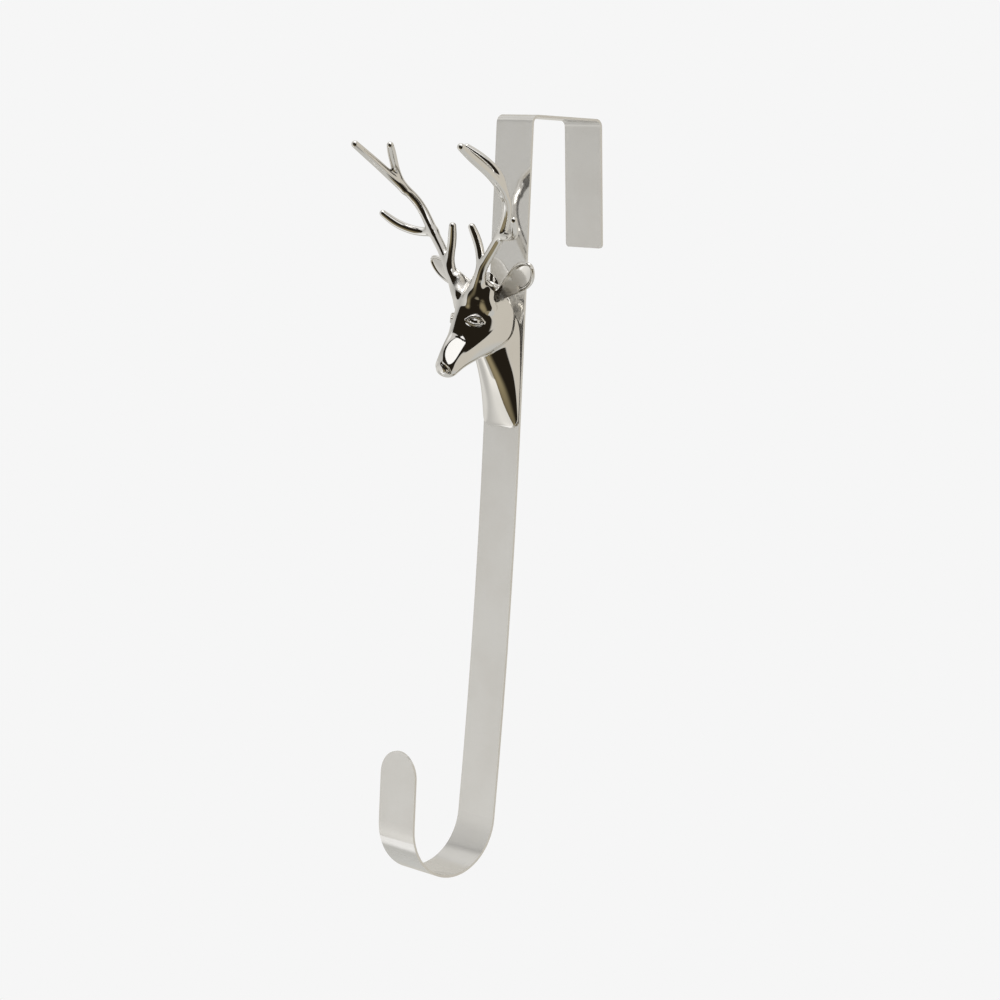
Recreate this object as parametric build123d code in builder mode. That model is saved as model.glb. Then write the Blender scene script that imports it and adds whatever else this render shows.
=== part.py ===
from build123d import *

import os
from math import cos, radians, sin, sqrt

# Over-door wreath hanger: one folded steel strip with a cast stag's head on its front.
#
# Frame: millimetres, +Z up. The origin is the middle of the under side of the top bar, where the
# hanger sits on the top edge of a door. The stag faces -Y, the back leg hangs at +Y, and X runs
# across the strip. The object is the same left and right of the plane X = 0.

# Strip
band_width = 25.0
band_thickness = 1.2
door_gap = 46.0
bend_inside_radius = 3.0
strap_straight_length = 150.0
strap_bow_length = 193.0
strap_bow_angle = 3.6
hook_inside_radius = 26.0
hook_sweep_angle = 176.5
hook_tip_length = 36.5
leg_length = 60.0
leg_splay_angle = 4.5
leg_corner_radius = 2.0

# The casting's points are given as (across, out from the strap's front face, up from the bar), and
# out is negative because the stag looks along -Y.

# Skull: slices square to a line that rises from the nose back to the nape
nose_from_strap = 39.8
nose_below_bar = 123.5
head_pitch = 50.3
# Distance from the nose, half width, how far the widest line lies to the jaw side, depth from it to
# the brow and to the jaw, and the fullness of both sides. A fullness of 0.71 is an ellipse, a
# larger one is squarer and a smaller one is more like a roof.
skull_slices = [
    (-2.0, 1.8, 0.0, 1.4, 1.6, 0.71, 0.71),
    (-1.2, 3.7, 0.0, 2.9, 3.3, 0.71, 0.71),
    (0.0, 5.1, 0.1, 4.4, 4.4, 0.71, 0.71),
    (1.5, 5.9, 0.3, 5.5, 4.9, 0.71, 0.73),
    (5.0, 6.6, 0.5, 7.1, 5.5, 0.68, 0.75),
    (12.0, 7.9, 0.8, 9.4, 7.8, 0.64, 0.78),
    (18.0, 9.6, 1.8, 12.0, 9.7, 0.63, 0.79),
    (24.0, 11.6, 3.0, 14.7, 11.2, 0.63, 0.80),
    (30.0, 12.8, 4.0, 17.0, 12.4, 0.63, 0.81),
    (36.0, 13.2, 4.5, 19.1, 12.3, 0.63, 0.80),
    (42.0, 13.0, 4.0, 19.4, 9.6, 0.64, 0.75),
    (47.0, 10.6, 2.0, 14.5, 7.7, 0.66, 0.72),
    (50.0, 6.4, 0.9, 8.2, 5.1, 0.70, 0.71),
    (51.6, 2.7, 0.2, 3.2, 2.4, 0.71, 0.71),
]
# On the +X side, the brow ridge from the foot of the antler to above the eye, and the temple
brow_ridge_route = [(8.6, -25.4, -79.5), (6.6, -27.0, -84.0), (4.7, -28.2, -89.0), (4.6, -27.0, -92.6)]
brow_ridge_radius = 3.8
temple_route = [(9.5, -21.8, -84.0), (9.4, -22.6, -89.0), (9.6, -21.8, -94.0)]
temple_radius = 3.8

# Neck: level slices, flat against the strap and as wide as the strap at the foot
neck_base_below_bar = 151.6
neck_corner_radius = 6.0
# Height above the foot, how far each side is in from the strap's edge, and depth off the strap
neck_slices = [
    (0.0, 0.0, 1.0),
    (3.6, 0.0, 3.0),
    (11.6, 0.0, 5.9),
    (21.6, 0.1, 9.7),
    (31.6, 0.5, 14.6),
    (41.6, 0.9, 18.4),
    (51.6, 1.9, 17.0),
    (53.6, 2.2, 15.6),
]

# Ears, on the +X side: from the root in the skull to the tip, hollowed on the front
ear_root = (9.4, -11.2, -87.6)
ear_tip = (33.9, -18.9, -70.4)
ear_facing = (-0.12, -0.96, -0.28)
ear_width = 10.6
ear_thickness = 3.4
ear_hollow_depth = 1.9
# Share of the ear's length, and the share of its full width there
ear_slices = [(0.0, 0.50), (0.2, 0.72), (0.45, 1.0), (0.7, 1.06), (0.88, 0.82), (0.97, 0.50), (1.0, 0.26)]
ear_hollow_slices = [(0.16, 0.20), (0.3, 0.60), (0.5, 0.84), (0.72, 0.86), (0.87, 0.60), (0.94, 0.26)]

# Antlers, on the +X side: the points that the middle of each branch passes through
beam_route = [(7.6, -23.4, -87.0), (9.6, -26.8, -80.0), (16.1, -28.4, -67.2), (24.4, -29.0, -56.2),
              (31.6, -32.7, -43.4), (36.0, -41.8, -34.6), (37.2, -51.8, -27.6),
              (37.0, -61.2, -22.0), (37.4, -69.5, -16.8)]
upper_tine_route = [(34.6, -38.6, -37.8), (36.4, -42.0, -30.8), (33.8, -47.4, -24.0),
                    (27.0, -55.9, -16.7)]
side_tine_route = [(23.6, -28.4, -57.4), (33.0, -30.8, -57.4), (41.4, -36.8, -54.2),
                   (46.4, -42.3, -49.4)]
brow_tine_route = [(10.4, -27.4, -77.6), (10.9, -28.6, -71.0), (9.6, -29.2, -63.0),
                   (6.8, -31.7, -53.9)]
burr_radius = 3.2
beam_radius = 2.3
tine_radius = 2.0
antler_tip_radius = 1.6
tine_root_radius = 1.5
slices_per_branch = 17

# Eyes, on the +X side
eye_centre = (8.5, -28.4, -98.6)
eye_facing = (0.80, -0.55, 0.24)
eye_along = (0.60, 0.80, -0.12)
eye_length = 9.4
eye_half_height = 2.9
eye_rim = 1.0
eye_rim_proud = 0.7
eye_rim_root = 4.0
eyeball_radius = 4.2
eyeball_sunk = 3.5

# Nostrils, on the +X side
nostril_centre = (3.1, -43.0, -121.4)
nostril_facing = (0.40, -0.86, -0.32)
nostril_half_length = 1.7
nostril_half_width = 1.0
nostril_depth = 2.2

# Fixing screws, from behind through the strap into the casting
screw_diameter = 3.0
screw_length = 7.0
screw_head_diameter = 6.0
screw_head_height = 1.3
screw_head_crown = 0.4
screw_spacing = 24.0
upper_screw_below_bar = 106.0
screw_hole_clearance = 0.2
screw_end_clearance = 1.0
driver_slot_width = 0.8
driver_slot_depth = 0.6

# Worked out from the sizes above
half_thickness = band_thickness / 2
strap_back = -door_gap / 2
strap_front = strap_back - band_thickness
bend_radius = bend_inside_radius + half_thickness
hook_radius = hook_inside_radius + half_thickness
screw_heights = [-upper_screw_below_bar, -upper_screw_below_bar - screw_spacing]
screw_radius = screw_diameter / 2
hole_radius = screw_radius + screw_hole_clearance
blind_hole_depth = screw_length - band_thickness + screw_end_clearance
head_axis = Vector(0, cos(radians(head_pitch)), sin(radians(head_pitch)))
jaw_way = head_axis.cross(Vector(1, 0, 0))
ear_line = Vector(ear_tip) - Vector(ear_root)


def from_strap(point):
    """A point of the casting in the hanger's frame."""
    return Vector(*point) + Vector(0, strap_front, 0)


def slice_plane(origin, direction):
    """Plane square to a direction, whose own X runs across the strip."""
    return Plane(origin=origin, x_dir=(1, 0, 0), z_dir=direction)


def ear_plane(share):
    """Plane square to the ear's middle line, at a share of its length from the root."""
    return Plane(origin=from_strap(ear_root) + ear_line * share, x_dir=ear_facing, z_dir=ear_line)


def screw_plane(height, distance):
    """Plane square to a screw, a distance in front of the strap's back, that faces the door."""
    return Plane(origin=(0, strap_back - distance, height), x_dir=(-1, 0, 0), z_dir=(0, 1, 0))


# One strip: back leg, bar, strap, hook and tip, drawn along the middle of its thickness
with BuildPart() as hanger_band:
    with BuildLine(Plane.YZ) as strip_line:
        bar = Line((door_gap / 2 + half_thickness - bend_radius, half_thickness),
                   (strap_back - half_thickness + bend_radius, half_thickness))
        front_bend = JernArc(bar @ 1, bar % 1, bend_radius, 90)
        strap = Line(front_bend @ 1, front_bend @ 1 + front_bend % 1 * strap_straight_length)
        bow = JernArc(strap @ 1, strap % 1, strap_bow_length / radians(strap_bow_angle), -strap_bow_angle)
        hook = JernArc(bow @ 1, bow % 1, hook_radius, -hook_sweep_angle)
        tip = Line(hook @ 1, hook @ 1 + hook % 1 * hook_tip_length)
        back_bend = JernArc(bar @ 0, -(bar % 0), bend_radius, leg_splay_angle - 90)
        leg = Line(back_bend @ 1, back_bend @ 1 + back_bend % 1 * leg_length)
    with BuildSketch(slice_plane(leg @ 1, leg % 1)):
        Rectangle(band_width, band_thickness)
    sweep(path=strip_line.wire())
    # The two corners at the foot of the back leg are eased
    foot_edges = hanger_band.faces().sort_by_distance(leg @ 1)[0].edges()
    fillet(foot_edges.sort_by(SortBy.LENGTH)[:2], leg_corner_radius)
    # The hook ends in a full half round
    with BuildSketch(slice_plane(tip @ 1, (tip % 1).cross(Vector(1, 0, 0)))):
        Rectangle(band_width, band_width / 2, align=(Align.CENTER, Align.MIN))
        with Locations((0, band_width / 2)):
            Circle(band_width / 2, mode=Mode.SUBTRACT)
    extrude(amount=band_thickness, both=True, mode=Mode.SUBTRACT)
    # Clearance holes for the screws
    for height in screw_heights:
        with Locations(screw_plane(height, 0)):
            Hole(hole_radius, depth=band_thickness)
hanger_band.part.label = "hanger_band"

# The skull is lofted from the nose, over brow and cheeks, to the nape
with BuildPart() as skull:
    nose_centre = from_strap((0, -nose_from_strap, -nose_below_bar))
    for distance, half_width, jaw_shift, brow_depth, jaw_depth, brow, jaw in skull_slices:
        middle = nose_centre + head_axis * distance + jaw_way * jaw_shift
        # In each slice +Y is the jaw side
        with BuildSketch(slice_plane(middle, head_axis)):
            with BuildLine():
                Spline((half_width, 0), (half_width * jaw, jaw_depth * jaw), (0, jaw_depth),
                       (-half_width * jaw, jaw_depth * jaw), (-half_width, 0),
                       (-half_width * brow, -brow_depth * brow), (0, -brow_depth),
                       (half_width * brow, -brow_depth * brow), periodic=True)
            make_face()
    loft()

# The neck is a loft of half ellipses, and its outline from the front has two rounded corners
with BuildPart() as neck:
    for above_foot, inset, depth in neck_slices:
        slice_height = above_foot - neck_base_below_bar
        with BuildSketch(slice_plane(from_strap((0, 0, slice_height)), (0, 0, 1))):
            Ellipse(band_width / 2 - inset, depth)
            split(bisect_by=Plane.XZ, keep=Keep.TOP)
    loft()
    neck_height = neck_slices[-1][0]
    with BuildSketch(slice_plane(from_strap((0, 0, -neck_base_below_bar)), (0, -1, 0))) as outline:
        Rectangle(band_width, neck_height, align=(Align.CENTER, Align.MIN))
        fillet(outline.vertices().sort_by(Axis.Z)[:2], neck_corner_radius)
    extrude(amount=band_width, mode=Mode.INTERSECT)

# One ear: a leaf lofted from ellipses, with a smaller leaf taken out of its front
with BuildPart() as ear:
    for share, fullness in ear_slices:
        with BuildSketch(ear_plane(share)):
            Ellipse(ear_thickness / 2 * sqrt(fullness), ear_width / 2 * fullness)
    loft()
    for share, fullness in ear_hollow_slices:
        with BuildSketch(ear_plane(share)):
            with Locations((ear_thickness / 2, 0)):
                Ellipse(ear_hollow_depth * fullness, ear_width / 2 * fullness)
    loft(mode=Mode.SUBTRACT)

# One antler, with the brow ridge and temple below it: tapered lofts along smooth routes, with domed
# ends
branches = [
    (beam_route, burr_radius, beam_radius, antler_tip_radius),
    (upper_tine_route, tine_root_radius, tine_radius, antler_tip_radius),
    (side_tine_route, tine_root_radius, tine_radius, antler_tip_radius),
    (brow_tine_route, tine_root_radius, tine_radius, antler_tip_radius),
    (brow_ridge_route, brow_ridge_radius, brow_ridge_radius, brow_ridge_radius),
    (temple_route, temple_radius, temple_radius, temple_radius),
]
with BuildPart() as antler:
    for route, root_radius, body_radius, end_radius in branches:
        with BuildLine(mode=Mode.PRIVATE) as route_line:
            Spline(*[from_strap(point) for point in route])
        for step in range(slices_per_branch):
            share = step / (slices_per_branch - 1)
            radius = root_radius if step == 0 else body_radius + (end_radius - body_radius) * share
            point = route_line.line @ share
            with BuildSketch(Plane(origin=point, x_dir=(1, 1, 0), z_dir=route_line.line % share)):
                Circle(radius)
        loft()
        with Locations(route_line.line @ 1):
            Sphere(end_radius)

# One eye: an almond rim that stands proud of the skull, round a domed eyeball
eye_plane = Plane(origin=from_strap(eye_centre), x_dir=eye_along, z_dir=eye_facing)
with BuildPart() as eye:
    with BuildSketch(eye_plane.offset(-eye_rim_root)):
        with BuildLine():
            ThreePointArc((-eye_length / 2, 0), (0, eye_half_height), (eye_length / 2, 0))
            ThreePointArc((-eye_length / 2, 0), (0, -eye_half_height), (eye_length / 2, 0))
        make_face()
        offset(amount=-eye_rim, mode=Mode.SUBTRACT)
    extrude(amount=eye_rim_root + eye_rim_proud)
    with Locations(eye_plane.offset(-eyeball_sunk)):
        Sphere(eyeball_radius)

# One nostril: a slanted oval pocket in the nose pad
with BuildPart() as nostril:
    with BuildSketch(Plane(origin=from_strap(nostril_centre), x_dir=(1, 0, 1), z_dir=nostril_facing)):
        Ellipse(nostril_half_length, nostril_half_width)
    extrude(amount=nostril_depth, both=True)

# The casting: skull and neck, with both ears, antlers and eyes, and two blind holes in its back
with BuildPart() as stag_head:
    add(skull.part)
    add(neck.part)
    for feature in (ear, antler, eye):
        add(feature.part)
        mirror(feature.part, about=Plane.YZ)
    add(nostril.part, mode=Mode.SUBTRACT)
    mirror(nostril.part, about=Plane.YZ, mode=Mode.SUBTRACT)
    for height in screw_heights:
        with Locations(screw_plane(height, band_thickness)):
            Hole(hole_radius, depth=blind_hole_depth)
stag_head.part.label = "stag_head"

# Two screws with low crowned heads and a driver slot
with BuildPart() as fixing_screws:
    for height in screw_heights:
        with BuildSketch(Plane(origin=(0, strap_back, height), x_dir=(0, 1, 0), z_dir=(1, 0, 0))):
            with BuildLine():
                Polyline((screw_head_height, 0), (-screw_length, 0), (-screw_length, screw_radius),
                         (0, screw_radius), (0, screw_head_diameter / 2),
                         (screw_head_height - screw_head_crown, screw_head_diameter / 2))
                TangentArc((screw_head_height, 0),
                           (screw_head_height - screw_head_crown, screw_head_diameter / 2), tangent=(0, 1))
            make_face()
        revolve(axis=Axis((0, 0, height), (0, 1, 0)))
        with BuildSketch(screw_plane(height, -screw_head_height)):
            Rectangle(screw_head_diameter, driver_slot_width)
        extrude(amount=-driver_slot_depth, mode=Mode.SUBTRACT)
fixing_screws.part.label = "fixing_screws"

os.makedirs("parts", exist_ok=True)
export_step(hanger_band.part, "parts/hanger_band.step")
export_step(stag_head.part, "parts/stag_head.step")
export_step(fixing_screws.part, "parts/fixing_screws.step")
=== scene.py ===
from math import cos, pi, radians, sin

import bpy
import numpy as np
from mathutils import Matrix, Vector


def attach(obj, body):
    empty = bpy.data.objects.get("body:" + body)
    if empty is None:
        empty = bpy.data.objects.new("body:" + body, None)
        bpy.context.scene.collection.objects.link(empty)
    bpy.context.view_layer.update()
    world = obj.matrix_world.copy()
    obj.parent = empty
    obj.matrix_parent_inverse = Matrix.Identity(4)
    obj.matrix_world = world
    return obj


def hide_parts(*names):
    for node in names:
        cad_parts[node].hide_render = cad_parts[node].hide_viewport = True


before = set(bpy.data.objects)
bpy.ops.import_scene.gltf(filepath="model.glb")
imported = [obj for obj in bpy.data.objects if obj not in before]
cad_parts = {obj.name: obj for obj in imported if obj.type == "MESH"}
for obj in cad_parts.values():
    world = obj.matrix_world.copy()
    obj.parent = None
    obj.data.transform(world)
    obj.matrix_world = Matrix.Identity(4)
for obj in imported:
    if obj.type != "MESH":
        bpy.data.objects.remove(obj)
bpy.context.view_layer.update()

# Over-door wreath hanger with a cast stag's head. The strap and the screws are the CAD solids with
# better materials. The casting is built here from one smooth form. The form and the camera's place
# are in millimetres in the CAD frame, and METRES turns them into scene units. The rest is in metres.
METRES = 0.001

# Camera, found from the photograph: its place in millimetres, and its angles in degrees
CAMERA_PLACE = (946.65, -933.7, -36.4)
CAMERA_AZIMUTH = 46.1
CAMERA_ELEVATION = 6.58
CAMERA_ROLL = 2.51
LENS = 96.23
SENSOR = 36.0

# Tools for a smooth form
#
# A form is a function of points that gives about how far each one is outside the surface, and less
# than nothing inside it. FAR is the most that a small shape gives.
FAR = 7.0
TINY = 1e-6


class Curve:
    """A natural cubic spline through values (numbers or points) at rising places."""

    def __init__(self, places, values):
        self.x = np.asarray(places, float)
        self.y = np.asarray(values, float)
        n = len(self.x)
        gap = np.diff(self.x)
        matrix = np.eye(n)
        right = np.zeros_like(self.y)
        for i in range(1, n - 1):
            matrix[i, i - 1:i + 2] = gap[i - 1], 2 * (gap[i - 1] + gap[i]), gap[i]
            rise_after = (self.y[i + 1] - self.y[i]) / gap[i]
            rise_before = (self.y[i] - self.y[i - 1]) / gap[i - 1]
            right[i] = 6 * (rise_after - rise_before)
        self.bend = np.linalg.solve(matrix, right)

    def __call__(self, at):
        at = np.clip(at, self.x[0], self.x[-1])
        i = np.clip(np.searchsorted(self.x, at, side="right") - 1, 0, len(self.x) - 2)
        gap = self.x[i + 1] - self.x[i]
        b = (at - self.x[i]) / gap
        a = 1 - b
        if self.y.ndim > 1:
            a, b, gap = a[..., None], b[..., None], gap[..., None]
        line = a * self.y[i] + b * self.y[i + 1]
        bow = (a ** 3 - a) * self.bend[i] + (b ** 3 - b) * self.bend[i + 1]
        return line + bow * gap ** 2 / 6


def join(a, b, blend):
    """Both a and b, with a fillet between them."""
    reach = np.maximum(blend - np.abs(a - b), 0) / blend
    return np.minimum(a, b) - reach ** 3 * blend / 6


def carve(a, b, blend):
    """Takes b out of a, with a rounded edge."""
    return -join(-a, b, blend)


def trim(a, b, blend):
    """Keeps what a and b share, with a rounded edge."""
    return -join(-a, -b, blend)


def smooth_step(value, low, high):
    u = np.clip((value - low) / (high - low), 0, 1)
    return u * u * u * (u * (6 * u - 15) + 10)


def unit(v):
    v = np.asarray(v, float)
    return v / np.linalg.norm(v)


def across_way(v, way):
    """The unit vector nearest to v that is square to way."""
    v = np.asarray(v, float)
    return unit(v - v @ way * way)


class Branch:
    """A round bar of changing radius along a smooth route."""

    CHUNK = 20000

    def __init__(self, route, radii, samples=48):
        route = np.asarray(route, float)
        gaps = np.linalg.norm(np.diff(route, axis=0), axis=1)
        places = np.concatenate([[0], np.cumsum(gaps)]) / gaps.sum()
        self.line = Curve(places, route)
        places, sizes = zip(*radii)
        self.radius = Curve(places, sizes)
        self.points = self.line(np.linspace(0, 1, samples + 1))
        self.low = self.points.min(0) - max(sizes)
        self.high = self.points.max(0) + max(sizes)

    def __call__(self, p):
        out = np.full(len(p), FAR)
        near = np.flatnonzero(np.all((p > self.low - FAR) & (p < self.high + FAR), axis=1))
        start = self.points[:-1]
        way = self.points[1:] - start
        size = (way ** 2).sum(1)
        for chunk in np.array_split(near, max(1, len(near) // self.CHUNK)):
            if len(chunk) == 0:
                continue
            q = p[chunk]
            u = np.clip((q @ way.T - (start * way).sum(1)) / size, 0, 1)
            away = np.zeros_like(u)
            for k in range(3):
                away += (q[:, k:k + 1] - start[:, k] - u * way[:, k]) ** 2
            best = away.argmin(1)
            share = (best + u[np.arange(len(q)), best]) / len(start)
            distance = np.linalg.norm(q - self.line(share), axis=1) - self.radius(share)
            out[chunk] = np.minimum(distance, FAR)
        return out


# The stag. Its shapes are on the +X side, and the form mirrors them.

STRAP_FRONT = -24.2
STRAP_HALF = 12.5

# Skull: along the head's axis from the nose. Half width, height of the widest line, depth to the
# brow, depth to the jaw, and how square the brow side and the jaw side are (2 is an ellipse).
NOSE = np.array((0.0, -64.0, -123.5))
HEAD_PITCH = np.radians(50.3)
HEAD_AXIS = np.array((0.0, np.cos(HEAD_PITCH), np.sin(HEAD_PITCH)))
BROW_WAY = np.array((0.0, -np.sin(HEAD_PITCH), np.cos(HEAD_PITCH)))
SKULL = np.array([
    (-1.5, 4.6, 0.0, 3.6, 4.2, 2.0, 2.0),
    (1.5, 5.9, -0.3, 5.2, 5.2, 2.0, 2.2),
    (5.0, 6.6, -0.5, 7.0, 6.0, 2.05, 2.4),
    (9.0, 7.2, -0.6, 8.2, 7.4, 1.9, 2.6),
    (13.0, 8.1, -0.9, 8.75, 9.1, 1.65, 2.8),
    (17.0, 9.3, -1.5, 9.1, 11.0, 1.5, 2.9),
    (21.0, 10.6, -2.3, 10.6, 12.9, 1.5, 3.1),
    (25.0, 11.8, -3.1, 12.2, 14.6, 1.5, 3.2),
    (30.0, 12.8, -4.0, 13.6, 16.4, 1.5, 3.4),
    (36.0, 13.2, -4.5, 14.8, 16.8, 1.5, 3.2),
    (42.0, 13.0, -4.0, 15.4, 13.6, 1.55, 2.6),
    (47.0, 11.8, -2.0, 14.2, 10.6, 1.7, 2.2),
    (52.0, 9.0, 0.0, 10.5, 8.0, 2.0, 2.0),
])
SKULL_CURVE = Curve(SKULL[:, 0], SKULL[:, 1:])
# Where the skull ends at the nose and at the nape, over what length each end rounds off, and how
# blunt it is
NOSE_END, NOSE_ROUND, NOSE_BLUNT = -2.2, 3.2, 2.4
NAPE_END, NAPE_ROUND, NAPE_BLUNT = 52.0, 9.0, 2.0
END_RADIUS = 1.5
# Over this height on both sides of the widest line, the jaw's section turns into the brow's
SECTION_CHANGE = 2.5
# The taper is measured over this step, and its square counts up to this much
TAPER_STEP = 0.4
TAPER_MOST = 9.0
# The bridge of the snout has a flat on each side, which ends where the brow rises
BRIDGE_FACING = np.array((0.700, -0.630, 0.337))
BRIDGE_TOUCH = np.array((4.31, -62.65, -113.03))
BRIDGE_DEPTH = 0.5
BRIDGE_FLAT = BRIDGE_TOUCH - BRIDGE_DEPTH * BRIDGE_FACING
BRIDGE_END = 15.7
BRIDGE_RELIEF = 0.6
BRIDGE_EDGE = 0.45


def skull_reach(t, x, v):
    """How far the surface is from the middle of the widest line, and how far (x, v) is."""
    width, middle, brow, jaw, brow_square, jaw_square = np.moveaxis(SKULL_CURVE(t), -1, 0)
    nose = np.clip((NOSE_END + NOSE_ROUND - t) / NOSE_ROUND, 0, 1)
    nape = np.clip((t - NAPE_END + NAPE_ROUND) / NAPE_ROUND, 0, 1)
    cap = (np.sqrt(np.maximum(1 - nose ** NOSE_BLUNT, 0))
           * np.sqrt(np.maximum(1 - nape ** NAPE_BLUNT, 0)))
    v = v - middle
    upper = smooth_step(v, -SECTION_CHANGE, SECTION_CHANGE)
    square = jaw_square + (brow_square - jaw_square) * upper
    depth = np.where(v > 0, brow - middle, jaw + middle)
    r = np.sqrt(x * x + v * v) + TINY
    reach = ((x / r / width) ** square + (np.abs(v) / r / depth) ** square) ** (-1 / square)
    return reach * cap, r


def skull(p):
    q = p - NOSE
    t = q @ HEAD_AXIS
    v = q @ BROW_WAY
    x = q[:, 0]
    reach, r = skull_reach(t, x, v)
    after, before = (skull_reach(t + step, x, v)[0] for step in (TAPER_STEP, -TAPER_STEP))
    taper = (after - before) / (2 * TAPER_STEP)
    d = (r - reach) / np.sqrt(1 + np.minimum(taper ** 2, TAPER_MOST))
    beyond = np.maximum(np.maximum(NOSE_END - t, t - NAPE_END), 0)
    d = np.where(beyond > 0, np.sqrt(beyond ** 2 + np.maximum(r - END_RADIUS, 0) ** 2), d)
    flat = (p - BRIDGE_FLAT) @ BRIDGE_FACING - BRIDGE_RELIEF * np.maximum(t - BRIDGE_END, 0)
    return trim(d, flat, BRIDGE_EDGE)


# Neck: by height, half width and depth off the strap, and how square its section is
NECK = np.array([
    (-152.4, 12.4, 0.6, 2.2),
    (-151.0, 12.5, 1.6, 2.2),
    (-148.0, 12.5, 3.0, 2.2),
    (-140.0, 12.5, 5.9, 2.1),
    (-130.0, 12.4, 9.7, 2.1),
    (-120.0, 12.0, 14.6, 2.1),
    (-110.0, 11.6, 18.6, 2.1),
    (-100.0, 10.6, 17.0, 2.1),
    (-93.0, 8.5, 13.0, 2.0),
])
NECK_CURVE = Curve(NECK[:, 0], NECK[:, 1:])
NECK_SCALE = 0.85
# The outline from the front has two rounded corners at the foot
NECK_FOOT = -151.6
NECK_CORNER = 6.0
NECK_FOOT_EDGE = 1.2
# The nape leaves the strap at this height and rises so much for each millimetre forward. The scale
# turns that into about a distance.
NAPE_START = -99.6
NAPE_RISE = 1.95
NAPE_SCALE = 2.19
NAPE_EDGE = 1.5


def neck(p):
    width, depth, square = np.moveaxis(NECK_CURVE(p[:, 2]), -1, 0)
    x, off = p[:, 0], STRAP_FRONT - p[:, 1]
    forward = np.maximum(off, 0)
    r = np.sqrt(x * x + forward ** 2) + TINY
    reach = ((x / r / width) ** square + (forward / r / depth) ** square) ** (-1 / square)
    d = (r - reach) * NECK_SCALE
    beside = np.maximum(x - (STRAP_HALF - NECK_CORNER), 0)
    below = np.maximum(NECK_FOOT + NECK_CORNER - p[:, 2], 0)
    d = trim(d, np.sqrt(beside ** 2 + below ** 2) - NECK_CORNER, NECK_FOOT_EDGE)
    nape = (p[:, 2] - NAPE_START - NAPE_RISE * off) / NAPE_SCALE
    return trim(d, nape, NAPE_EDGE)


# Antlers, brow ridge and temple: a route, and radii at shares of its length
BEAM = Branch([(5.9, -49.3, -87.0), (8.6, -52.0, -80.0), (16.1, -52.6, -67.2), (24.4, -53.2, -56.2),
               (31.6, -56.9, -43.4), (36.0, -66.0, -34.6), (37.2, -76.0, -27.6),
               (37.0, -85.4, -22.0), (37.4, -93.4, -17.0)],
              [(0, 3.5), (0.08, 2.8), (0.3, 2.45), (0.6, 2.3), (0.9, 2.0), (1, 1.8)], 96)
TINES = (
    Branch([(34.6, -62.8, -37.8), (36.4, -66.2, -30.8), (33.8, -71.6, -24.0), (27.0, -80.1, -16.7)],
           [(0, 1.8), (0.5, 2.0), (0.9, 1.9), (1, 1.7)]),
    Branch([(23.6, -52.6, -57.4), (33.0, -55.0, -57.4), (41.4, -61.0, -54.2), (46.2, -66.3, -49.6)],
           [(0, 2.1), (0.5, 2.2), (0.9, 1.9), (1, 1.7)]),
    Branch([(10.4, -51.6, -77.6), (10.9, -52.8, -71.0), (9.6, -53.4, -63.0), (6.8, -55.9, -53.9)],
           [(0, 2.2), (0.5, 2.15), (0.9, 1.95), (1, 1.75)]),
)
BROW_RIDGE = Branch([(7.4, -50.6, -79.5), (6.3, -51.1, -83.4), (4.2, -52.0, -87.0),
                     (3.6, -51.4, -89.6)], [(0, 3.4), (1, 3.6)], 24)
TEMPLE = Branch([(9.5, -46.0, -84.0), (9.4, -46.6, -88.0), (9.8, -45.2, -92.0)],
                [(0, 3.6), (1, 3.6)], 16)

# Ear: a cupped leaf with a rim. Its half width and the sideways shift of its middle line go by
# shares of its length.
EAR_ROOT = np.array((9.4, -35.4, -87.6))
EAR_TIP = np.array((33.9, -43.1, -70.4))
EAR_WAY = unit(EAR_TIP - EAR_ROOT)
EAR_LENGTH = np.linalg.norm(EAR_TIP - EAR_ROOT)
EAR_FACING = across_way((0.04, -0.89, -0.46), EAR_WAY)
EAR_ACROSS = np.cross(EAR_FACING, EAR_WAY)
EAR_HALF = Curve((0, 0.22, 0.45, 0.6, 0.74, 0.85, 1.02), (2.4, 3.8, 5.1, 5.8, 6.0, 5.9, 5.4))
EAR_SHIFT = Curve((0, 0.22, 0.45, 0.6, 0.74, 1.02), (2.2, 1.2, 0.2, -0.5, -0.8, -0.9))
# The tip rounds off from the first share to the second, and this blunt
EAR_ROUND, EAR_END, EAR_BLUNT = 0.62, 1.02, 2.6
# Across the ear, its middle surface is a parabola this deep. It crosses the ear's plane where the
# square of the share of the half width is CUP_LEVEL, and it goes on to the share CUP_WIDEST.
EAR_CUP, CUP_LEVEL, CUP_WIDEST = 0.6, 0.75, 1.15
# Wall of the ear, what it gains at the root, and from what share of the length
EAR_WALL, ROOT_WALL, ROOT_SHARE = 1.5, 1.6, 0.45
EAR_EDGE = 1.0
# The rim is a bead inside the edge, in front of the ear's plane. Below RIM_START it sinks away.
EAR_RIM, RIM_INSIDE, RIM_FRONT, RIM_SOFT, RIM_BLEND = 0.8, 0.3, 0.35, 0.01, 0.8
RIM_START, RIM_SINK = 0.15, 12.0
# The ear is worked out within these shares, and so far to each side and to the front and back
EAR_LOWEST, EAR_HIGHEST, EAR_SIDES, EAR_DEPTH = -0.35, 1.3, 13.0, 10.0
# The outline's taper is measured over this share, and its square counts up to this much
OUTLINE_STEP, OUTLINE_MOST = 0.01, 16.0


def ear_outline(s):
    over = np.clip((s - EAR_ROUND) / (EAR_END - EAR_ROUND), 0, 1)
    return EAR_HALF(s) * np.sqrt(np.maximum(1 - over ** EAR_BLUNT, 0))


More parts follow.
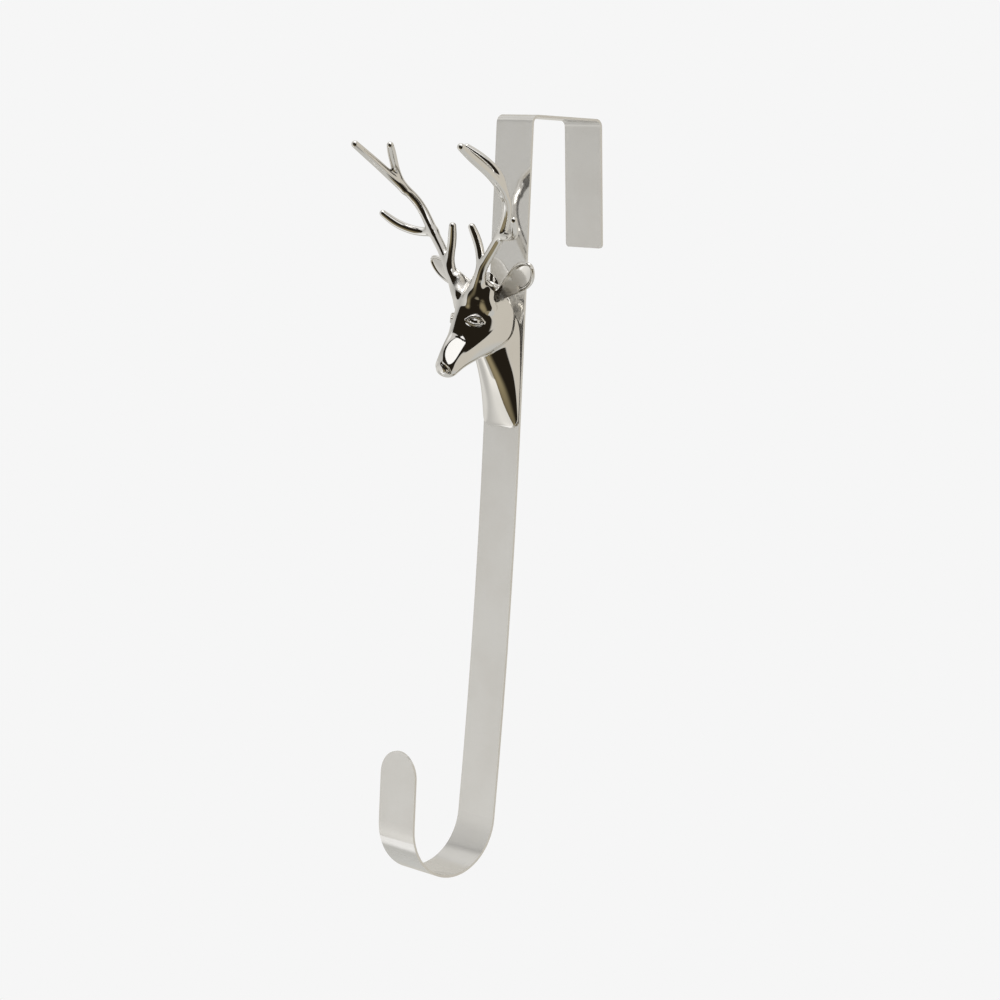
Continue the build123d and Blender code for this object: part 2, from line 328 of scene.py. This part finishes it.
def ear(p):
    out = np.full(len(p), FAR)
    q = p - EAR_ROOT
    s = q @ EAR_WAY / EAR_LENGTH
    b = q @ EAR_ACROSS
    n = q @ EAR_FACING
    near = (s > EAR_LOWEST) & (s < EAR_HIGHEST) & (np.abs(b) < EAR_SIDES) & (np.abs(n) < EAR_DEPTH)
    s, b, n = s[near], b[near] - EAR_SHIFT(s[near]), n[near]
    change = ear_outline(s + OUTLINE_STEP) - ear_outline(s - OUTLINE_STEP)
    taper = change / (2 * OUTLINE_STEP * EAR_LENGTH)
    edge = (np.abs(b) - ear_outline(s)) / np.sqrt(1 + np.minimum(taper ** 2, OUTLINE_MOST))
    beyond = np.maximum(s - EAR_END, 0) * EAR_LENGTH
    edge = np.where(beyond > 0, np.sqrt(beyond ** 2 + b ** 2), edge)
    across = np.minimum(np.abs(b) / EAR_HALF(s), CUP_WIDEST)
    middle = EAR_CUP * (across ** 2 - CUP_LEVEL)
    wall = EAR_WALL + ROOT_WALL * smooth_step(-s, -ROOT_SHARE, 0.0)
    d = trim(np.abs(n - middle) - wall / 2, edge, EAR_EDGE)
    rim = np.sqrt((edge + RIM_INSIDE) ** 2 + (n - RIM_FRONT) ** 2 + RIM_SOFT) - EAR_RIM
    rim = rim + np.maximum(RIM_START - s, 0) * RIM_SINK
    out[near] = np.minimum(join(d, rim, RIM_BLEND), FAR)
    return out


# Eye: a socket, two lids and a ball, in the eye's own directions
EYE_CENTRE = np.array((7.8, -52.25, -98.85))
EYE_FACING = unit((0.80, -0.55, 0.24))
EYE_ALONG = across_way((0.60, 0.80, -0.12), EYE_FACING)
EYE_UP = np.cross(EYE_FACING, EYE_ALONG)
# Each is a radius, how many times longer it is along the eye, and how far out its middle is
SOCKET = (2.7, 1.9, 1.6)
BALL = (3.3, 1.15, -2.4)
# Half length of a lid, and how thick its ends are as a share of its middle
LID_HALF = 4.5
LID_ENDS = 0.55


def lid(height, lift, radius):
    """An arc over or under the eye."""
    share = np.linspace(-1, 1, 9)[:, None]
    arch = 1 - share ** 2
    points = (EYE_CENTRE + EYE_ALONG * (LID_HALF * share)
              + EYE_UP * (height * arch) + EYE_FACING * (lift * arch))
    return Branch(points, [(0, radius * LID_ENDS), (0.5, radius), (1, radius * LID_ENDS)], 24)


UPPER_LID = lid(2.2, 0.6, 0.8)
LOWER_LID = lid(-1.7, 0.2, 0.65)
NOSTRIL = Branch([(1.7, -67.3, -119.6), (3.3, -67.0, -120.6), (4.4, -65.8, -122.2),
                  (4.3, -64.4, -123.6)], [(0, 0.7), (0.5, 1.05), (1, 0.7)], 24)

# How far each shape blends into what it is joined to or cut from
NECK_BLEND = 2.0
RIDGES_BLEND, TEMPLE_BLEND, BROW_BLEND = 3.0, 8.0, 5.0
EAR_BLEND = 1.3
TINE_BLEND, ANTLER_BLEND = 2.6, 3.0
SOCKET_BLEND, UPPER_LID_BLEND, LOWER_LID_BLEND, BALL_BLEND = 1.6, 1.0, 0.9, 0.5
NOSTRIL_BLEND = 0.9


def eye(d, p):
    """The form d with the eye in it."""
    q = p - EYE_CENTRE
    along, up, out = q @ EYE_ALONG, q @ EYE_UP, q @ EYE_FACING

    def egg(radius, longer, middle):
        return np.sqrt((along / longer) ** 2 + up ** 2 + (out - middle) ** 2) - radius

    d = carve(d, egg(*SOCKET), SOCKET_BLEND)
    d = join(d, UPPER_LID(p), UPPER_LID_BLEND)
    d = join(d, LOWER_LID(p), LOWER_LID_BLEND)
    return join(d, egg(*BALL), BALL_BLEND)


def stag_form(points):
    """The whole casting. Its back is flat against the strap."""
    p = np.array(points, float)
    p[:, 0] = np.abs(p[:, 0])
    d = join(skull(p), neck(p), NECK_BLEND)
    ridges = join(BROW_RIDGE(p), BROW_RIDGE(p * (-1, 1, 1)), RIDGES_BLEND)
    d = join(d, join(ridges, TEMPLE(p), TEMPLE_BLEND), BROW_BLEND)
    d = join(d, ear(p), EAR_BLEND)
    antler = BEAM(p)
    for tine in TINES:
        antler = join(antler, tine(p), TINE_BLEND)
    d = join(d, antler, ANTLER_BLEND)
    d = carve(eye(d, p), NOSTRIL(p), NOSTRIL_BLEND)
    return np.maximum(d, p[:, 1] - STRAP_FRONT)


# Mesh from a form
#
# The grid is worked out in blocks. A block counts as near the surface if its middle is within
# NEAR_SHARE of its width and NEAR_EXTRA millimetres; its corners are 0.87 of its width away.
NEAR_SHARE = 1.1
NEAR_EXTRA = 0.5
BLOCKS_AT_ONCE = 200
# A point moves to the surface in steps of at most this, as if the form's slope squared was at
# least this
SETTLE_MOST = 0.2
SLOPE_LEAST = 0.25


def grid_points(*axes):
    return np.stack(np.meshgrid(*axes, indexing="ij"), -1)


def sample(form, low, high, pitch, block=8):
    """The form's values on a grid, exact only near its surface."""
    blocks = np.ceil((high - low) / pitch / block).astype(int)
    middles = grid_points(*(low[k] + (np.arange(blocks[k]) + 0.5) * block * pitch for k in range(3)))
    coarse = form(middles.reshape(-1, 3)).reshape(tuple(blocks))
    values = np.empty(tuple(blocks * block + 1), np.float32)
    values[:-1, :-1, :-1] = coarse.repeat(block, 0).repeat(block, 1).repeat(block, 2)
    values[-1] = values[-2]
    values[:, -1] = values[:, -2]
    values[:, :, -1] = values[:, :, -2]
    near = np.argwhere(np.abs(coarse) < block * pitch * NEAR_SHARE + NEAR_EXTRA)
    steps = np.arange(block + 1)
    corners = grid_points(steps, steps, steps).reshape(-1, 3)
    for some in np.array_split(near, max(1, len(near) // BLOCKS_AT_ONCE)):
        cells = (some[:, None, :] * block + corners).reshape(-1, 3)
        values[tuple(cells.T)] = form(low + cells * pitch)
    return values


def net(values, low, pitch):
    """Points and quads of the surface where the values pass through nothing: surface nets."""
    inside = values < 0
    shape = np.array(values.shape) - 1
    count = np.zeros(tuple(shape), np.int8)
    ends = [slice(None, -1), slice(1, None)]
    for i in range(8):
        count += inside[ends[i & 1], ends[i >> 1 & 1], ends[i >> 2 & 1]]
    cells = np.argwhere((count > 0) & (count < 8))
    index = np.full(tuple(shape), -1, np.int32)
    index[tuple(cells.T)] = np.arange(len(cells))
    total = np.zeros((len(cells), 3))
    hits = np.zeros((len(cells), 1))
    quads = []
    step = np.eye(3, dtype=int)
    for axis in range(3):
        first, second = (axis + 1) % 3, (axis + 2) % 3
        # Each cell's point is the middle of where the surface crosses the cell's edges
        for i, j in ((0, 0), (0, 1), (1, 0), (1, 1)):
            start = cells + i * step[first] + j * step[second]
            end = start + step[axis]
            value_a = values[tuple(start.T)]
            value_b = values[tuple(end.T)]
            crossed = (value_a < 0) != (value_b < 0)
            point = start.astype(float)
            point[:, axis] += value_a / np.where(crossed, value_a - value_b, 1)
            total += point * crossed[:, None]
            hits += crossed[:, None]
        # Each crossed edge of the grid gives a quad through the four cells around it
        edge = np.argwhere(inside != np.roll(inside, -1, axis))
        edge = edge[(edge < shape).all(1) & (edge[:, first] > 0) & (edge[:, second] > 0)]
        around = [edge + i * step[first] + j * step[second]
                  for i, j in ((-1, -1), (0, -1), (0, 0), (-1, 0))]
        ring = np.stack([index[tuple(cell.T)] for cell in around], 1)
        outward = inside[tuple(edge.T)]
        ring[~outward] = ring[~outward, ::-1]
        quads.append(ring)
    return low + total / hits * pitch, np.concatenate(quads)


def slope(form, points, step):
    """The form's gradient, from values on both sides."""
    out = np.empty_like(points)
    for k in range(3):
        move = np.zeros(3)
        move[k] = step
        out[:, k] = form(points + move) - form(points - move)
    return out / (2 * step)


def settle(form, points, rounds, step):
    """Moves the points onto the surface, and gives the surface's directions there."""
    for _ in range(rounds):
        way = slope(form, points, step)
        size = np.maximum((way ** 2).sum(1), SLOPE_LEAST)
        points = points - way * np.clip(form(points) / size, -SETTLE_MOST, SETTLE_MOST)[:, None]
    way = slope(form, points, step)
    return points, way / np.linalg.norm(way, axis=1, keepdims=True)


def put_in_scene(name, data):
    item = bpy.data.objects.new(name, data)
    bpy.context.scene.collection.objects.link(item)
    return item


# A box around the casting, the grid's pitch, and how often and with what step the points settle
STAG_LOW = np.array((-50.0, -97.0, -154.0))
STAG_HIGH = np.array((50.0, -23.0, -13.0))
STAG_PITCH = 0.43
SETTLE_ROUNDS = 2
SETTLE_STEP = 0.1


def build_stag():
    values = sample(stag_form, STAG_LOW, STAG_HIGH, STAG_PITCH)
    points, quads = net(values, STAG_LOW, STAG_PITCH)
    points, normals = settle(stag_form, points, SETTLE_ROUNDS, SETTLE_STEP)
    mesh = bpy.data.meshes.new("stag_casting")
    mesh.from_pydata((points * METRES).tolist(), [], quads.tolist())
    mesh.polygons.foreach_set("use_smooth", [True] * len(mesh.polygons))
    mesh.normals_split_custom_set_from_vertices(normals.tolist())
    return put_in_scene("stag_casting", mesh)


# Materials

class Nodes:
    """Short calls for a node tree."""

    def __init__(self, tree):
        self.tree = tree
        tree.nodes.clear()

    def add(self, kind, **settings):
        node = self.tree.nodes.new(kind)
        inputs = settings.pop("inputs", {})
        for name, value in settings.items():
            setattr(node, name, value)
        for name, value in inputs.items():
            self.put(node.inputs[name], value)
        return node

    def put(self, socket, value):
        if isinstance(value, bpy.types.NodeSocket):
            self.tree.links.new(value, socket)
        else:
            socket.default_value = value

    def end(self, kind, shader):
        self.put(self.add(kind).inputs["Surface"], shader.outputs[0])

    def place(self, system="Object"):
        return self.add("ShaderNodeTexCoord").outputs[system]

    def math(self, operation, *values):
        node = self.add("ShaderNodeMath", operation=operation)
        for socket, value in zip(node.inputs, values):
            self.put(socket, value)
        return node.outputs[0]

    def vector(self, operation, output, *values):
        inputs = dict(enumerate(values))
        return self.add("ShaderNodeVectorMath", operation=operation, inputs=inputs).outputs[output]

    def ramp(self, value, low, high, out_low=0.0, out_high=1.0):
        """Smooth step from out_low to out_high while value goes from low to high."""
        node = self.add("ShaderNodeMapRange", interpolation_type="SMOOTHSTEP")
        for name, number in (("Value", value), ("From Min", low), ("From Max", high),
                             ("To Min", out_low), ("To Max", out_high)):
            self.put(node.inputs[name], number)
        return node.outputs[0]

    def mix(self, factor, a, b):
        """A colour from a to b."""
        node = self.add("ShaderNodeMix", data_type="RGBA")
        for number, value in ((0, factor), (6, a), (7, b)):
            self.put(node.inputs[number], value)
        return node.outputs[2]

    def mix_shaders(self, factor, a, b):
        node = self.add("ShaderNodeMixShader")
        for number, value in enumerate((factor, a.outputs[0], b.outputs[0])):
            self.put(node.inputs[number], value)
        return node

    def noise(self, scale, detail, stretch=None):
        place = self.place()
        if stretch:
            place = self.add("ShaderNodeMapping", inputs={"Vector": place, "Scale": stretch}).outputs[0]
        node = self.add("ShaderNodeTexNoise", inputs={"Vector": place, "Scale": scale, "Detail": detail})
        return node.outputs["Fac"]


def new_material(name):
    material = bpy.data.materials.new(name)
    material.use_nodes = True
    return material, Nodes(material.node_tree)


def linear(red, green, blue):
    """A colour in scene units from display values."""
    values = [((c / 255 + 0.055) / 1.055) ** 2.4 for c in (red, green, blue)]
    return (*values, 1.0)


# Tone clouds on all metals: noise scale and detail, and between which values the tone changes
CLOUD_SCALE, CLOUD_DETAIL, CLOUD_RANGE = 38.0, 4.0, (0.35, 0.7)
# Gloss follows so much of the clouds and so much of the fine grain, over this range of their sum
CLOUD_SHARE, GRAIN_SHARE, GLOSS_RANGE = 0.6, 0.4, (0.35, 0.65)
GRAIN_DETAIL = 3.0
# These places are polished less: the hollows and roots of the ears, and the foot of the antlers.
# Each is a place without its minus signs, so that it holds on both sides, and two radii between
# which the extra roughness falls away.
SATIN_ROUGH = 0.36
SATIN_PLACES = (
    ((0.0246, 0.0402, 0.0769), 0.0035, 0.0062),
    ((0.0170, 0.0378, 0.0822), 0.0032, 0.0058),
    ((0.0130, 0.0372, 0.0858), 0.0025, 0.0048),
    ((0.0028, 0.0524, 0.0820), 0.0025, 0.0050),
)


def metal(name, shade, worn, rough, rough_spread, grain, ripple, stretch=None, satin=(), mirror=1.0):
    """Polished metal with small changes of tone and gloss, and a fine surface ripple."""
    material, n = new_material(name)
    shader = n.add("ShaderNodeBsdfPrincipled", inputs={"Metallic": mirror})
    cloud = n.noise(CLOUD_SCALE, CLOUD_DETAIL)
    fine = n.noise(grain, GRAIN_DETAIL, stretch)
    n.put(shader.inputs["Base Color"], n.mix(n.ramp(cloud, *CLOUD_RANGE), (*shade, 1), (*worn, 1)))
    patchy = n.math("ADD", n.math("MULTIPLY", cloud, CLOUD_SHARE),
                    n.math("MULTIPLY", fine, GRAIN_SHARE))
    gloss = n.ramp(patchy, *GLOSS_RANGE, rough, rough + rough_spread)
    for place, inner, outer in satin:
        away = n.vector("DISTANCE", "Value", n.vector("ABSOLUTE", 0, n.place()), place)
        gloss = n.math("ADD", gloss, n.ramp(away, inner, outer, SATIN_ROUGH, 0.0))
    n.put(shader.inputs["Roughness"], gloss)
    bump = n.add("ShaderNodeBump", inputs={"Height": fine, "Strength": 1.0, "Distance": ripple})
    n.put(shader.inputs["Normal"], bump.outputs[0])
    n.end("ShaderNodeOutputMaterial", shader)
    return material


casting_metal = metal("plated_casting", (0.80, 0.785, 0.755), (0.77, 0.75, 0.715), rough=0.035,
                      rough_spread=0.03, grain=900.0, ripple=1.2e-6, satin=SATIN_PLACES)
# The strip has a faint grain along its length and a slight haze
strip_metal = metal("polished_strip", (0.82, 0.81, 0.785), (0.785, 0.77, 0.74), rough=0.025,
                    rough_spread=0.035, grain=400.0, ripple=8e-7, stretch=(4.0, 0.25, 0.25),
                    mirror=0.7)
screw_metal = metal("screw_steel", (0.55, 0.55, 0.56), (0.46, 0.46, 0.47), rough=0.22,
                    rough_spread=0.14, grain=1500.0, ripple=4e-6)

# Pieces

stag = build_stag()
stag.data.materials.append(casting_metal)
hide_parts("stag_head")
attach(stag, "root")

for node_name, node_metal in (("hanger_band", strip_metal), ("fixing_screws", screw_metal)):
    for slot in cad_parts[node_name].material_slots:
        slot.material = node_metal

# Stage. The camera sees the floor fade into a plain background, and the floor keeps the shadow.

FLOOR_LEVEL = -0.9
FLOOR_RADIUS = 6.0
FLOOR_SIDES = 96
FLOOR_COLOUR = (0.82, 0.82, 0.82, 1)
# The floor is half background within the first radius, and all background beyond the second
SHADOW_RADIUS = 0.5
SHADOW_FADE = 1.3
SHADOW_SHARE = 0.5
BACKGROUND = linear(246, 246, 246)


def build_floor():
    turns = [2 * pi * k / FLOOR_SIDES for k in range(FLOOR_SIDES)]
    rim = [(FLOOR_RADIUS * cos(a), FLOOR_RADIUS * sin(a), FLOOR_LEVEL) for a in turns]
    mesh = bpy.data.meshes.new("floor")
    mesh.from_pydata(rim, [], [tuple(range(FLOOR_SIDES))])
    floor = put_in_scene("floor", mesh)
    material, n = new_material("pale_floor")
    rays = n.add("ShaderNodeLightPath")
    away = n.vector("LENGTH", "Value", n.vector("MULTIPLY", 0, n.place(), (1, 1, 0)))
    painted = n.add("ShaderNodeBsdfDiffuse", inputs={"Color": FLOOR_COLOUR})
    glowing = n.add("ShaderNodeEmission", inputs={"Color": BACKGROUND, "Strength": 1.0})
    seen = n.math("MAXIMUM", rays.outputs["Is Camera Ray"], rays.outputs["Is Glossy Ray"])
    fade = n.ramp(away, SHADOW_RADIUS, SHADOW_FADE, SHADOW_SHARE, 1.0)
    n.end("ShaderNodeOutputMaterial", n.mix_shaders(n.math("MULTIPLY", seen, fade), painted, glowing))
    mesh.materials.append(material)
    # The chrome mirrors the studio below the horizon, not this floor
    floor.visible_glossy = False


build_floor()

# Studio: what the chrome mirrors, by azimuth (from -Y towards +X) and elevation in degrees. Each
# layer has a colour, its azimuths, its elevations and how soft its edges are, on all sides and on
# its lowest side. It lies over the earlier ones, and ANY puts the edges out of reach.
STUDIO_STRENGTH = 1.1
STUDIO_BASE = linear(202, 200, 196)
ANY = (-400, 400)
STUDIO_LAYERS = (
    # Warmer on the right and behind
    (linear(206, 201, 191), (96, 182), ANY, 12, 12),
    (linear(197, 194, 187), (-182, -106), ANY, 14, 14),
    # Bright ceiling, greyer on the camera's side
    (linear(250, 250, 250), ANY, (47, 400), 9, 9),
    (linear(208, 206, 203), (-20, 190), (44, 120), 6, 6),
    # Floor, with a bright part at the front left
    (linear(200, 200, 197), ANY, (-400, -33), 7, 7),
    ((1.08, 1.08, 1.08, 1.0), (-72, -40), (-68, -30), 5, 5),
    # Dark zone on the camera's side, olive at its left foot and below
    (linear(36, 31, 24), (-22, 96), (-52, 45), 2, 5),
    (linear(150, 138, 108), (-22, 20), (-50, -24), 18, 5),
    (linear(140, 130, 104), (0, 76), (-74, -50), 4, 4),
    # White soft box at its top
    ((1.12, 1.12, 1.12, 1.0), (46, 92), (30.5, 45), 1.2, 1.2),
)


def build_studio():
    world = bpy.data.worlds.new("studio")
    bpy.context.scene.world = world
    world.use_nodes = True
    n = Nodes(world.node_tree)
    x, y, z = n.add("ShaderNodeSeparateXYZ", inputs={"Vector": n.place("Generated")}).outputs
    azimuth = n.math("ARCTAN2", x, n.math("MULTIPLY", y, -1.0))
    elevation = n.math("ARCSINE", z)

    def window(value, low, high, soft, low_soft):
        rise = n.ramp(value, radians(low - low_soft), radians(low + low_soft))
        fall = n.ramp(value, radians(high - soft), radians(high + soft), 1.0, 0.0)
        return n.math("MULTIPLY", rise, fall)

    colour = STUDIO_BASE
    for shade, across, upward, soft, low_soft in STUDIO_LAYERS:
        shown = n.math("MULTIPLY", window(azimuth, *across, soft, soft),
                       window(elevation, *upward, soft, low_soft))
        colour = n.mix(shown, colour, shade)
    lights = n.add("ShaderNodeBackground", inputs={"Color": colour, "Strength": STUDIO_STRENGTH})
    white = n.add("ShaderNodeBackground", inputs={"Color": BACKGROUND, "Strength": 1.0})
    camera_ray = n.add("ShaderNodeLightPath").outputs["Is Camera Ray"]
    n.end("ShaderNodeOutputWorld", n.mix_shaders(camera_ray, lights, white))


build_studio()

# A pale card stands close in front and to the left, where only mirrors see it. It has a tone by
# height, as display values. Left of LOW_SIDE its lowest rows all have LOW_SIDE_TONE.
WALL_DISTANCE = 0.86
WALL_AZIMUTHS = range(-104, -19, 4)
WALL_TONES = (
    (-0.88, 230), (-0.74, 222), (-0.62, 208), (-0.54, 205), (-0.45, 203), (-0.31, 199),
    (-0.22, 193), (-0.13, 187), (0.0, 182), (0.09, 178), (0.20, 172), (0.28, 166),
    (0.35, 150), (0.40, 166), (0.45, 190), (0.54, 200), (0.7, 202),
)
WALL_STRENGTH = 1.35
WALL_TINT = (1.0, 0.995, 0.98)
LOW_ROWS = 4
LOW_SIDE, LOW_SIDE_SOFT, LOW_SIDE_TONE = -66, 16, 177


def build_wall():
    count = len(WALL_AZIMUTHS)
    points = [(WALL_DISTANCE * sin(radians(a)), -WALL_DISTANCE * cos(radians(a)), height)
              for height, _ in WALL_TONES for a in WALL_AZIMUTHS]
    corners = [row * count + i for row in range(len(WALL_TONES) - 1) for i in range(count - 1)]
    mesh = bpy.data.meshes.new("studio_wall")
    mesh.from_pydata(points, [], [(c, c + 1, c + count + 1, c + count) for c in corners])
    wall = put_in_scene("studio_wall", mesh)
    tones = mesh.color_attributes.new("tone", "FLOAT_COLOR", "POINT")
    for row, (_, tone) in enumerate(WALL_TONES):
        for i, turn in enumerate(WALL_AZIMUTHS):
            share = min(max((turn - LOW_SIDE) / LOW_SIDE_SOFT, 0), 1) if row < LOW_ROWS else 1
            shown = LOW_SIDE_TONE + (tone - LOW_SIDE_TONE) * share
            tones.data[row * count + i].color = linear(*(shown * part for part in WALL_TINT))
    material, n = new_material("studio_wall")
    tone = n.add("ShaderNodeVertexColor", layer_name="tone").outputs["Color"]
    glow = n.add("ShaderNodeEmission", inputs={"Color": tone, "Strength": WALL_STRENGTH})
    n.end("ShaderNodeOutputMaterial", glow)
    mesh.materials.append(material)
    wall.visible_camera = False
    wall.visible_diffuse = False
    wall.visible_shadow = False


build_wall()


def facing(azimuth, elevation):
    """The direction at an azimuth from -Y towards +X and an elevation, both in radians."""
    return Vector((sin(azimuth) * cos(elevation), -cos(azimuth) * cos(elevation), sin(elevation)))


# A square soft lamp overhead, turned to the middle of the hanger
LAMP_AIM = Vector((0, 0, -0.16))
LAMP_WAY = facing(radians(20), radians(78))
LAMP_DISTANCE = 1.6
LAMP_SIZE = 0.7
LAMP_WATTS = 5


def build_lamp():
    data = bpy.data.lights.new("overhead", "AREA")
    data.shape = "SQUARE"
    data.size = LAMP_SIZE
    data.energy = LAMP_WATTS
    lamp = put_in_scene("overhead", data)
    lamp.location = LAMP_AIM + LAMP_WAY * LAMP_DISTANCE
    lamp.rotation_euler = LAMP_WAY.to_track_quat("Z", "Y").to_euler()
    lamp.visible_camera = False


build_lamp()


def build_camera():
    azimuth, elevation, roll = (radians(a) for a in (CAMERA_AZIMUTH, CAMERA_ELEVATION, CAMERA_ROLL))
    back = facing(azimuth, elevation)
    level = Vector((cos(azimuth), sin(azimuth), 0))
    above = back.cross(level)
    right = level * cos(roll) + above * sin(roll)
    up = above * cos(roll) - level * sin(roll)
    data = bpy.data.cameras.new("camera")
    data.lens = LENS
    data.sensor_width = SENSOR
    camera = put_in_scene("camera", data)
    turned = Matrix((right, up, back)).transposed().to_4x4()
    camera.matrix_world = Matrix.Translation(Vector(CAMERA_PLACE) * METRES) @ turned
    bpy.context.scene.camera = camera


build_camera()
bpy.context.scene.view_settings.view_transform = "Standard"
